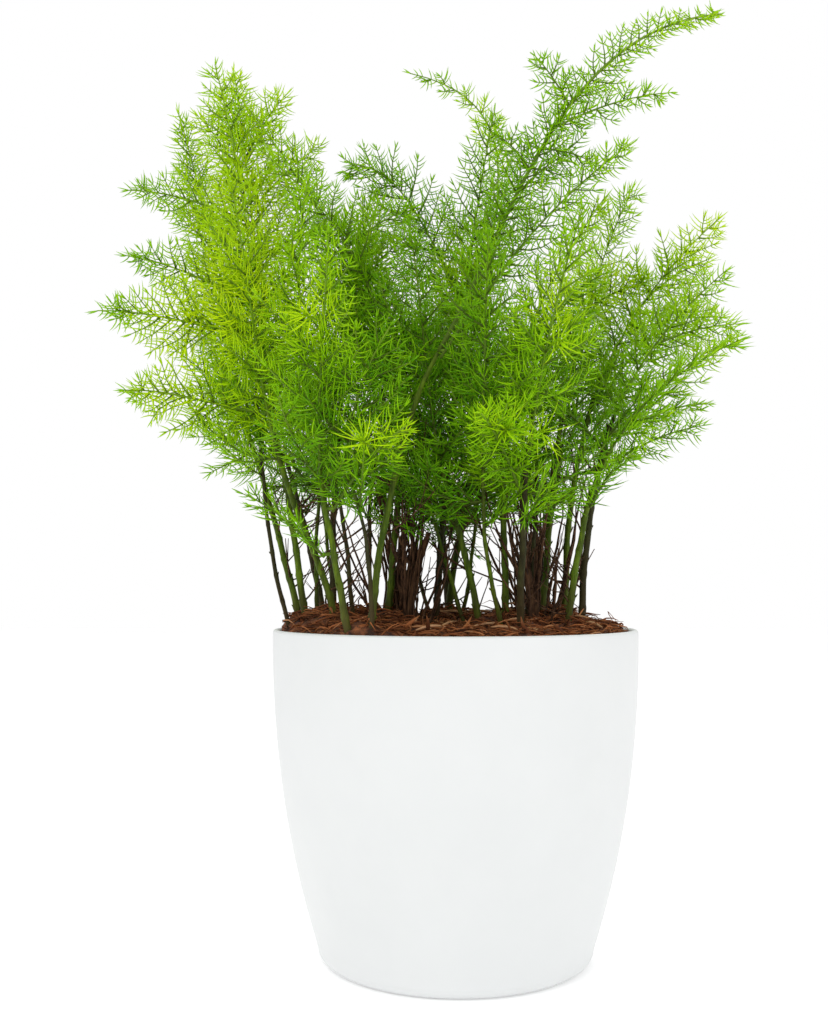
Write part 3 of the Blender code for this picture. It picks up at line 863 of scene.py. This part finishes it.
def growFrond(growth, line, length, side, width, look):
    bare, tint, fine = look["bare"], look["freshAndDepthShade"], look["fine"]
    growTwig(growth, line, look["rib"], tint - 0.05, 6, max(8, round(length / (4 * mm))), 0.65)
    count = int(length / branchlets["spacing"] * look["full"])
    for i in range(count):
        share = bare + (1 - bare) * (i + random.uniform(0.2, 0.8)) / (count + 1)
        heading = tangents(line, share)
        across = unit(square(side, heading))
        normal = np.cross(heading, across)
        hand = 1 if i % 2 else -1
        angle = branchlets["rootAngle"] + (branchlets["tipAngle"] - branchlets["rootAngle"]) * share
        angle = math.radians(random.normal(angle, branchlets["angleStray"]))
        out = unit(across * hand + normal * random.normal(0, branchlets["outOfPlane"]))
        ahead = unit(leaning(heading, out, angle) + up * branchlets["rise"])
        profile = min(1, 0.55 + 1.6 * share) * (1 - share) ** look["taper"]
        reach = width * profile * between(branchlets["vary"])
        if reach > branchlets["shortest"] * fine:
            size = fine * (1 - branchlets["finerAtTip"] * share)
            growShoot(growth, line(share), ahead, reach, across, tint, 1, size)
    clear = line
    if bare > plainFrond["bare"]:  # no needles on the bare part of the rib
        middle = (line(bare) + line(1.0)) / 2
        clear = bowLine(line(bare), line(1.0), line((1 + bare) / 2) - middle)
    growNeedles(growth, clear, length * (1 - bare), side, tint, branchlets["ribNeedles"] * fine)


# each frond's line and width come from its CAD blade
bladeReading = {"power": 3, "passes": 6, "pull": 3 * mm, "width": 97}
stemCloud = np.concatenate([rod["line"](steps(60)) for rod in stems.values()])


def readBlade(name):
    points = nodePoints(name)
    middle = points.mean(0)
    main = np.linalg.svd(points - middle, full_matrices=False)[2][0]
    along = (points - middle) @ main
    ends = points[np.argmin(along)], points[np.argmax(along)]
    gaps = [np.linalg.norm(stemCloud - end, axis=1).min() for end in ends]
    if gaps[1] < gaps[0]:
        along = -along
    t = (along - along.min()) / np.ptp(along)
    weight = np.ones(len(t))
    for _ in range(bladeReading["passes"]):  # drawn in towards the midrib, whose points lie close together
        terms = np.polyfit(t, points, bladeReading["power"], w=weight)
        off = np.linalg.norm(points - powerLine(terms)(t), axis=1)
        weight = 1 / (1 + (off / bladeReading["pull"]) ** 2)
    line = powerLine(terms)
    off = square(points - line(t), tangents(line, t))
    side = np.linalg.svd(off, full_matrices=False)[2][0]
    halfWidth = np.percentile(np.abs(off @ side), bladeReading["width"])
    return {"line": line, "length": np.ptp(along), "side": side, "halfWidth": halfWidth}


blades = {node: readBlade(node) for node in nodesNamed("frond_", "spray_")}


def ribOf(node):  # a frond's rib: its blade's line, bowed most at two thirds of the way along
    line = blades[node]["line"]
    look = lookOf(node)
    bow = np.array(look["bow"]) * mm

    def at(s):
        s = np.asarray(s, float)
        return line(s * look["reach"]) + bow * (6.75 * s * s * (1 - s))[..., None]
    return at


# the freshest clumps: the frond they are on, the share of the way along it, and how much brighter they are
freshClumps = (
    ("frond_left_tall", 0.42, 0.50), ("frond_left_tall", 0.58, 0.38), ("frond_left_front", 0.50, 0.34),
    ("spray_left_3", 0.50, 0.36), ("spray_left_4", 0.65, 0.36), ("frond_front_middle", 0.66, 0.28),
    ("spray_front_left", 0.85, 0.36), ("frond_middle_arching", 0.66, 0.40), ("frond_right_top", 0.50, 0.40),
    ("frond_right_front", 0.60, 0.34), ("frond_right_outer", 0.95, 0.30), ("spray_right_2", 0.80, 0.26),
    ("frond_middle_top", 0.30, 0.26), ("frond_right_back", 0.70, 0.26), ("frond_left_back", 0.70, 0.26),
    ("frond_middle_back", 0.80, 0.26), ("spray_front_right", 0.90, 0.22), ("spray_left_2", 0.35, 0.24),
    ("frond_left_inner", 0.70, 0.34), ("frond_right_front", 0.06, 0.24), ("frond_left_front", 0.02, 0.24),
)
clumpPlaces = [(ribOf(node)(share), gain) for node, share, gain in freshClumps]

# the tint's base, and what height, reach and the plant's outer edge add: from where, over how far, how much
tinting = {"base": 0.35, "height": (potTop + 50 * mm, 150 * mm, 0.22), "out": (20 * mm, 60 * mm, 0.16),
           "edge": (92 * mm, 20 * mm, -0.16), "clumpReach": 15 * mm}


def grown(values, key):
    start, over, gain = tinting[key]
    return gain * np.clip((values - start) / over, 0, 1)


# the lift up high and out at the sides is partly fresher growth and partly painted shade, which keeps the
# plant's low middle dark
def placeTint(points):  # brighter up high, out at the sides and in the clumps, but not at the very edge
    aside = abs(points[:, 0])
    tint = tinting["base"] + grown(points[:, 2], "height") + grown(aside, "out") + grown(aside, "edge")
    for place, gain in clumpPlaces:
        tint += gain * np.exp(-(np.linalg.norm(points - place, axis=1) / tinting["clumpReach"]) ** 2)
    return tint


frondLines = [blades[node]["line"](steps(40)) for node in nodesNamed("frond_")]
bearers = {"frond": stemCloud, "spray": np.concatenate([stemCloud] + frondLines)}


def makeFrond(node):
    blade = blades[node]
    look = lookOf(node)
    growth = newGrowth()
    rib = ribOf(node)
    start = rib(0.03)
    bearer = bearers[node[:5]]
    joint = bearer[np.linalg.norm(bearer - start, axis=1).argmin()]
    growTwig(growth, bowLine(joint, start, np.zeros(3)), 0.7 * mm, look["freshAndDepthShade"] - 0.15, 6, 3, 0.1)
    width = branchlets["gain"] * blade["halfWidth"] * look["wide"]
    growFrond(growth, rib, blade["length"], blade["side"], width, look)
    finishGrowth(growth, "foliage_" + node, (node,))


for node in blades:
    makeFrond(node)
print("fronds made:", len(blades))


# side fronds on the big ones: the bearer, the share of the way along it, where it reaches to, and its width,
# both in mm
sideFronds = (
    ("plume", 0.52, (38, -4, 10), 8), ("plume", 0.58, (-11, 4, 19), 8),
    ("plume", 0.42, (-10, 6, 14), 9), ("plume", 0.47, (20, 8, -3), 10),
    ("plume", 0.36, (20, 8, 18), 12), ("left_tall", 0.55, (26, -6, 22), 14),
    ("left_tall", 0.40, (32, -8, 10), 15), ("left_tall", 0.72, (15, -3, 22), 12),
    ("left_tall", 0.76, (-11, 2, 20), 10), ("left_outer", 0.50, (-14, 2, 22), 12),
    ("left_outer", 0.72, (-8, 3, 16), 10), ("left_tall", 0.62, (-18, -4, 26), 13),
    ("left_leaning", 0.45, (26, 4, 18), 14), ("middle_top", 0.45, (20, 6, 18), 13),
    ("right_outer", 0.50, (24, 6, 16), 12), ("left_inner", 0.5, (22, -8, 20), 14),
    ("right_outer", 0.30, (34, -8, 4), 13), ("far_right", 0.45, (28, -6, 6), 12),
    ("right_top", 0.38, (22, -10, 8), 14), ("right_back", 0.30, (12, 22, 14), 14),
    ("left_back", 0.30, (-8, 22, 16), 14), ("middle_back", 0.25, (4, -16, 26), 14),
    ("left_back", 0.20, (26, -4, 22), 14), ("right_back", 0.18, (-24, -4, 24), 14),
    ("middle_back", 0.20, (-24, -10, 20), 13), ("middle_back", 0.38, (22, -6, 18), 12),
    ("left_back", 0.10, (-20, -14, 18), 13), ("right_back", 0.10, (24, -16, 16), 13),
)
sideFrond = {"rib": 0.4 * mm, "full": 1.1}
borne = {}


def makeSideFrond(bearer, share, reach, width):
    start = ribOf("frond_" + bearer)(share)
    reach = np.array(reach) * mm
    length = np.linalg.norm(reach)
    line = bowLine(start, start + reach, up * 0.06 * length)
    side = np.cross(unit(reach), np.array((0, -1.0, 0)))
    look = lookOf("frond_" + bearer)
    look = dict(plainFrond, freshAndDepthShade=look["freshAndDepthShade"], fine=look["fine"], **sideFrond)
    growth = newGrowth()
    growFrond(growth, line, length, side, width * mm, look)
    borne[bearer] = borne.get(bearer, 0) + 1
    finishGrowth(growth, "side_{}_{}".format(bearer, borne[bearer]))


for side in sideFronds:
    makeSideFrond(*side)
print("side fronds made:", len(sideFronds))


# bursts: a short side shoot that ends in a star of long needles, facing out from the plant; each is on a
# frond, at a share of the way along it, with a size
bursts = {
    "on": (("spray_front_left", 0.62, 1.15), ("spray_front_right", 0.55, 1.0),
           ("frond_right_front", 0.04, 1.1), ("frond_front_middle", 0.62, 0.9),
           ("frond_left_front", 0.30, 0.9), ("frond_right_low", 0.10, 1.0),
           ("spray_back_left", 0.60, 1.0), ("spray_back_right", 0.60, 1.0),
           ("frond_right_back", 0.40, 0.9), ("frond_left_back", 0.35, 0.9),
           ("frond_right_front", 0.40, 0.9), ("frond_middle_leaning", 0.35, 0.9)),
    "needles": 17, "stalk": 9 * mm, "stalkRadius": 0.4 * mm, "length": 10 * mm, "vary": (0.6, 1.05),
    "lean": (30, 92), "leanStray": 9, "curl": 0.4, "droop": 0.15, "stray": 0.12, "tint": 0.12}


def makeBursts():
    growth = newGrowth()
    count = bursts["needles"]
    for node, share, size in bursts["on"]:
        start = ribOf(node)(share)
        heading = unit(start * level) + up * random.uniform(0.0, 0.3)
        heading = unit(heading + random.normal(0, 0.12, 3))
        line = bowLine(start, start + heading * bursts["stalk"], up * 0.5 * mm)
        growTwig(growth, line, bursts["stalkRadius"], bursts["tint"] - 0.1, 5, 4)
        around = np.arange(count) * leafTurn + random.random()
        across = unit(square(np.array((0.3, 0.2, 1.0)), heading))
        out = across * np.cos(around)[:, None] + np.cross(heading, across) * np.sin(around)[:, None]
        lean = np.linspace(*bursts["lean"], count) + random.normal(0, bursts["leanStray"], count)
        lean = np.radians(lean)[:, None]
        ahead = leaning(heading, out, lean)
        roots = line(np.linspace(1.0, 0.6, count))
        lengths = bursts["length"] * size * between(bursts["vary"], count)
        curl = np.cross(out, heading) * random.choice((-bursts["curl"], bursts["curl"]), count)[:, None]
        stray = random.normal(0, bursts["stray"], (count, 3))
        bend = curl + 0.2 * heading - bursts["droop"] * up + stray
        tints = bursts["tint"] + random.normal(0, 0.05, count)
        growth["needles"].append((roots, ahead, bend, lengths, tints))
    finishGrowth(growth, "bursts")


makeBursts()
print("bursts made:", len(bursts["on"]))


# slimmer stems, one beside each CAD stem, whose fronds fill the plant out
slimStem = {"aside": 5 * mm, "turn": 30, "shorter": (0.85, 1.0), "foot": 0.85 * mm, "top": 0.5 * mm,
            "knobs": 0.8, "width": 30 * mm, "rib": 0.6 * mm, "freshAndDepthShade": (-0.05, 0.04), "twist": 0.9,
            "without": ("left_outer", "far_right", "right_outer", "right_low", "plume", "right_top"),
            "cut": {"middle_arching": 0.72, "middle_top": 0.8, "front_middle": 0.85}}


def makeSlimStem(name, rod, hand):
    aside = turned(np.array((slimStem["aside"], 0, 0)), random.random() * math.tau)
    angle = math.radians(slimStem["turn"]) * hand * random.uniform(0.6, 1.2)
    share = between(slimStem["shorter"]) * slimStem["cut"].get(name, 1.0)
    foot = rod["line"](0.0) + aside
    joint = foot + turned(rod["line"](1.0) - rod["line"](0.0), angle) * share
    blade = blades["frond_" + name]["line"]
    tip = joint + turned(blade(1.0) - blade(0.0), angle) * share
    line = bowLine(foot, joint, aside * 0.6)
    length = np.linalg.norm(joint - foot)
    parts = newParts()
    addStem(parts, line, slimStem["foot"], slimStem["top"], length, slimStem["knobs"])
    bark = oldBark if hand > 0 else stemBark
    buildPiece("slimStem_" + name, parts, [bark], mapped=False)
    growth = newGrowth()
    heading = tangents(line, 1.0)
    reach = np.linalg.norm(tip - joint)
    rib = bowLine(joint, tip, (heading * reach / 2 - (tip - joint) / 2) * 0.5)
    side = turned(np.array((1.0, 0, 0)), random.uniform(-slimStem["twist"], slimStem["twist"]))
    look = dict(plainFrond, freshAndDepthShade=about(slimStem["freshAndDepthShade"]), rib=slimStem["rib"])
    growFrond(growth, rib, reach, side, slimStem["width"], look)
    finishGrowth(growth, "slimFrond_" + name)
    return {"line": line, "length": length}


slimStems = {}
for i, (name, rod) in enumerate(stems.items()):
    if name not in slimStem["without"]:
        slimStems[name] = makeSlimStem(name, rod, 1 if i % 2 else -1)
print("slim stems made:", len(slimStems))


# side shoots on each stem's upper part; they start higher up at the plant's left and right
sideShoots = {"spacing": 8 * mm, "lowest": 32 * mm, "rise": 30 * mm, "leftRise": 0.6,
              "outer": 30 * mm, "outerWidth": 20 * mm, "reach": (22 * mm, 42 * mm), "outwards": 0.5,
              "angle": (58, 8), "lift": 0.1, "tint": (-0.04, 0.05), "without": ("plume",)}


def firstShoot(rod):  # the share of the way up at which its shoots start
    s = steps(100)
    across = rod["line"](1.0)[0]
    outer = np.clip((abs(across) - sideShoots["outer"]) / sideShoots["outerWidth"], 0, 1)
    if across <= 0:
        outer *= sideShoots["leftRise"]
    lowest = potTop + sideShoots["lowest"] + sideShoots["rise"] * outer
    return np.interp(lowest, rod["line"](s)[:, 2], s)


def makeSideShoots(name, rod):
    growth = newGrowth()
    first = firstShoot(rod)
    turn = random.random() * math.tau
    count = max(1, int((1 - first) * rod["length"] / sideShoots["spacing"]))
    for i in range(count):
        share = first + (1 - first) * (i + random.uniform(0.2, 0.8)) / count
        start = rod["line"](share)
        heading = tangents(rod["line"], share)
        turn += leafTurn
        out = np.array((math.cos(turn), math.sin(turn), 0))
        out = unit(out + sideShoots["outwards"] * unit(start * level))
        angle = math.radians(about(sideShoots["angle"]))
        ahead = unit(leaning(heading, out, angle) + up * sideShoots["lift"])
        reach = between(sideShoots["reach"])
        side = unit(np.cross(ahead, unit(random.normal(0, 1, 3) + up * 0.8)))
        growShoot(growth, start, ahead, reach, side, about(sideShoots["tint"]), 1)
    finishGrowth(growth, "sideShoots_" + name)


for name, rod in stems.items():
    if name not in sideShoots["without"]:
        makeSideShoots(name, rod)
for name, rod in slimStems.items():
    makeSideShoots("slim_" + name, rod)


# floor, light and camera
studio = {"floor": 3.0, "floorScale": 3, "floorDark": (0.93, 0.93, 0.93, 1),
          "floorLight": (0.95, 0.95, 0.95, 1), "floorRoughness": 0.9, "floorGlow": 0.2, "ambient": 0.85,
          "lampSize": 0.8, "aim": (0, 0, 0.2),
          "lamps": (("key", (-0.5, -0.9, 1.1), 4.0), ("fill", (0.9, -0.7, 0.5), 1.2),
                    ("back", (0.2, 0.9, 1.0), 3.0))}
white = (1, 1, 1, 1)


def addLamp(name, place, watts):
    lamp = bpy.data.lights.new(name, "AREA")
    lamp.energy = watts
    lamp.size = studio["lampSize"]
    made = addObject(name, lamp)
    made.location = place
    made.rotation_euler = (Vector(studio["aim"]) - Vector(place)).to_track_quat("-Z", "Y").to_euler()


def makeFloor():
    mesh = bpy.data.meshes.new("floor")
    half = studio["floor"]
    corners = [(-half, -half, 0), (half, -half, 0), (half, half, 0), (-half, half, 0)]
    mesh.from_pydata(corners, [], [(0, 1, 2, 3)])
    made, tree, shader = newMaterial("paper")
    tone = mottled(tree, placed(tree), studio["floorScale"], studio["floorDark"], studio["floorLight"], 1.0)
    feed(tree, shader, {"Base Color": tone["Colour"], "Roughness": studio["floorRoughness"],
                        "Emission Color": white, "Emission Strength": studio["floorGlow"]})
    mesh.materials.append(made)
    floor = addObject("floor", mesh)


def makeLight():  # a white backdrop that lights the plant a little less than it looks
    world = bpy.data.worlds.new("studio")
    world.use_nodes = True
    tree = world.node_tree
    seen = wire(tree, "LightPath").outputs["Is Camera Ray"]
    feed(tree, tree.nodes["Background"].inputs, {"Color": white,
                                                 "Strength": ranged(tree, seen, studio["ambient"], 1.0)})
    bpy.context.scene.world = world
    for name, place, watts in studio["lamps"]:
        addLamp(name, place, watts)


camera = {"distance": 0.424, "height": potTop + 16.3 * mm, "pitch": 3.37, "yaw": 1.98, "lens": 41.08,
          "sensor": 36, "clip": 0.01}


def makeCamera():
    data = bpy.data.cameras.new("camera")
    data.lens = camera["lens"]
    data.sensor_width = camera["sensor"]
    data.clip_start = camera["clip"]
    made = addObject("camera", data)
    made.location = (0, -camera["distance"], camera["height"])
    made.rotation_euler = (math.radians(90 + camera["pitch"]), 0, math.radians(camera["yaw"]))
    bpy.context.scene.camera = made
    bpy.context.scene.view_settings.view_transform = "Standard"


makeFloor()
makeLight()
makeCamera()
print("camera and light set")
